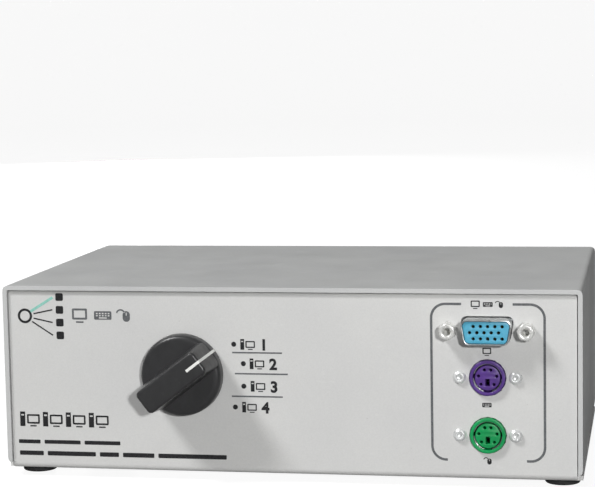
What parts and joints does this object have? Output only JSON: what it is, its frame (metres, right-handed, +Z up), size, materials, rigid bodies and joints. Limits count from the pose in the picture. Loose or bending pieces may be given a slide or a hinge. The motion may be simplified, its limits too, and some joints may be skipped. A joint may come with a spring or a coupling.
{
  "type": "kvm switch",
  "caption": "Steel box with a rotary selector knob that switches a keyboard, monitor and mouse between computers wired to its rear sockets.",
  "frame": {"origin": "centre of the box's footprint, on the surface that its four feet stand on", "axes": "front panel and knob towards -Y, rear sockets towards +Y, +X to the right as seen from the front, +Z up"},
  "size_m": [0.192, 0.1422, 0.065],
  "materials": {
    "panel_paint": "light grey satin paint",
    "cover_paint": "light grey satin paint",
    "screw_steel": "zinc-plated steel",
    "foot_rubber": "matt black rubber",
    "shell_tin": "tinned steel",
    "vga_blue": "light blue moulded plastic",
    "jack_steel": "bright plated steel",
    "keyboard_purple": "purple moulded plastic",
    "mouse_green": "green moulded plastic",
    "bracket_steel": "plated steel plate and rivets",
    "board_green": "glass-fibre circuit board",
    "ribbon_grey": "grey ribbon cable",
    "knob_plastic": "black moulded plastic, satin",
    "shaft_steel": "plated steel",
    "brass": "plain brass",
    "spring_steel": "hardened steel strip",
    "wafer_brown": "brown phenolic board",
    "rotor_white": "white moulded plastic"
  },
  "bodies": {
    "case": {"chassis": "panel_paint", "cover": "cover_paint", "cover_screw_1": "screw_steel", "cover_screw_2": "screw_steel", "cover_screw_3": "screw_steel", "cover_screw_4": "screw_steel", "foot_front_left": "foot_rubber", "foot_front_right": "foot_rubber", "foot_rear_left": "foot_rubber", "foot_rear_right": "foot_rubber", "vga_shell_console": "shell_tin", "vga_insulator_console": "vga_blue", "jackscrew_console_left": "jack_steel", "jackscrew_console_right": "jack_steel", "keyboard_socket_console": "keyboard_purple", "mouse_socket_console": "mouse_green", "socket_bracket_console": "bracket_steel", "vga_shell_port_1": "shell_tin", "vga_insulator_port_1": "vga_blue", "jackscrew_port_1_left": "jack_steel", "jackscrew_port_1_right": "jack_steel", "keyboard_socket_port_1": "keyboard_purple", "mouse_socket_port_1": "mouse_green", "socket_bracket_port_1": "bracket_steel", "vga_shell_port_2": "shell_tin", "vga_insulator_port_2": "vga_blue", "jackscrew_port_2_left": "jack_steel", "jackscrew_port_2_right": "jack_steel", "keyboard_socket_port_2": "keyboard_purple", "mouse_socket_port_2": "mouse_green", "socket_bracket_port_2": "bracket_steel", "vga_shell_port_3": "shell_tin", "vga_insulator_port_3": "vga_blue", "jackscrew_port_3_left": "jack_steel", "jackscrew_port_3_right": "jack_steel", "keyboard_socket_port_3": "keyboard_purple", "mouse_socket_port_3": "mouse_green", "socket_bracket_port_3": "bracket_steel", "vga_shell_port_4": "shell_tin", "vga_insulator_port_4": "vga_blue", "jackscrew_port_4_left": "jack_steel", "jackscrew_port_4_right": "jack_steel", "keyboard_socket_port_4": "keyboard_purple", "mouse_socket_port_4": "mouse_green", "socket_bracket_port_4": "bracket_steel", "rear_board": "board_green", "console_board": "board_green", "rear_ribbon": "ribbon_grey", "console_ribbon": "ribbon_grey", "selector_frame": "shaft_steel", "selector_washer": "shaft_steel", "selector_nut": "brass", "detent_spring": "spring_steel", "selector_wafer_1": "wafer_brown", "selector_wafer_2": "wafer_brown"},
    "selector": {"selector_knob": "knob_plastic", "selector_shaft": "shaft_steel", "detent_wheel": "brass", "selector_rotor_1": "rotor_white", "selector_rotor_2": "rotor_white"}
  },
  "joints": [
    {"name": "selector_turn", "type": "hinge", "parent": "case", "child": "selector", "pos_m": [-0.0344, -0.0533, 0.0361], "axis": [0, 1, 0], "range_deg": [0, 77.14], "deforming": ["detent_spring"]}
  ]
}
